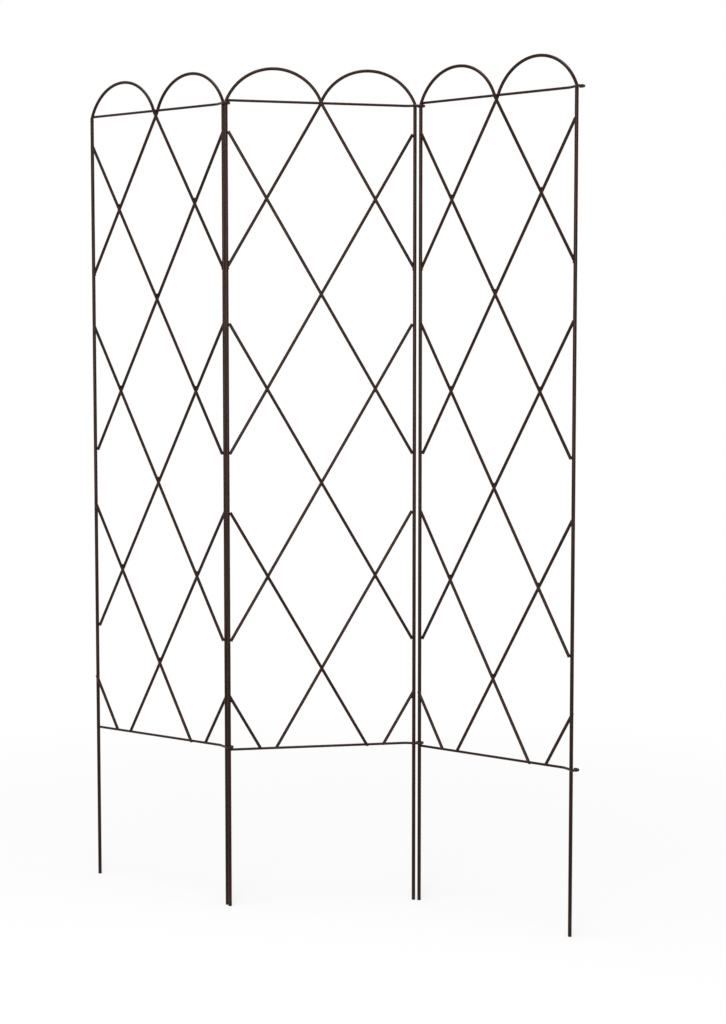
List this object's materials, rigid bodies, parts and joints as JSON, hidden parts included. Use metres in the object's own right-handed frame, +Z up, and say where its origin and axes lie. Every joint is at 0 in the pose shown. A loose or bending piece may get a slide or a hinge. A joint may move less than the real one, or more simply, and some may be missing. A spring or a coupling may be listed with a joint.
{
  "type": "espalier frame",
  "caption": "Folding garden frame of hinged wire panels, each with arched tops, a diamond lattice, level rails and legs that push into soil.",
  "frame": {"origin": "on the ground, in the middle of the standing frame's outline", "axes": "+Z up, +X along the middle panel to its eyes, -Y towards the viewer of the picture"},
  "size_m": [0.8242, 0.5266, 1.4998],
  "materials": {
    "brown_coat": "satin powder coat"
  },
  "bodies": {
    "middle_panel": {"middle_panel_left_post": "brown_coat", "middle_panel_right_post": "brown_coat", "middle_panel_left_arch_brace": "brown_coat", "middle_panel_right_arch_brace": "brown_coat", "middle_panel_top_rail": "brown_coat", "middle_panel_bottom_rail": "brown_coat", "middle_panel_falling_rod_1": "brown_coat", "middle_panel_falling_rod_2": "brown_coat", "middle_panel_falling_rod_3": "brown_coat", "middle_panel_falling_rod_4": "brown_coat", "middle_panel_rising_rod_1": "brown_coat", "middle_panel_rising_rod_2": "brown_coat", "middle_panel_rising_rod_3": "brown_coat", "middle_panel_rising_rod_4": "brown_coat"},
    "left_panel": {"left_panel_left_post": "brown_coat", "left_panel_right_post": "brown_coat", "left_panel_left_arch_brace": "brown_coat", "left_panel_right_arch_brace": "brown_coat", "left_panel_top_rail": "brown_coat", "left_panel_bottom_rail": "brown_coat", "left_panel_falling_rod_1": "brown_coat", "left_panel_falling_rod_2": "brown_coat", "left_panel_falling_rod_3": "brown_coat", "left_panel_falling_rod_4": "brown_coat", "left_panel_rising_rod_1": "brown_coat", "left_panel_rising_rod_2": "brown_coat", "left_panel_rising_rod_3": "brown_coat", "left_panel_rising_rod_4": "brown_coat"},
    "right_panel": {"right_panel_left_post": "brown_coat", "right_panel_right_post": "brown_coat", "right_panel_left_arch_brace": "brown_coat", "right_panel_right_arch_brace": "brown_coat", "right_panel_top_rail": "brown_coat", "right_panel_bottom_rail": "brown_coat", "right_panel_falling_rod_1": "brown_coat", "right_panel_falling_rod_2": "brown_coat", "right_panel_falling_rod_3": "brown_coat", "right_panel_falling_rod_4": "brown_coat", "right_panel_rising_rod_1": "brown_coat", "right_panel_rising_rod_2": "brown_coat", "right_panel_rising_rod_3": "brown_coat", "right_panel_rising_rod_4": "brown_coat"}
  },
  "joints": [
    {"name": "left_hinge", "type": "hinge", "parent": "middle_panel", "child": "left_panel", "pos_m": [-0.16894, 0.00953, 0.864], "axis": [0, 0, 1], "range_deg": [-44.2, 160.8]},
    {"name": "right_hinge", "type": "hinge", "parent": "middle_panel", "child": "right_panel", "pos_m": [0.17696, 0.00593, 0.864], "axis": [0, 0, 1], "range_deg": [-66.6, 138.4]}
  ]
}
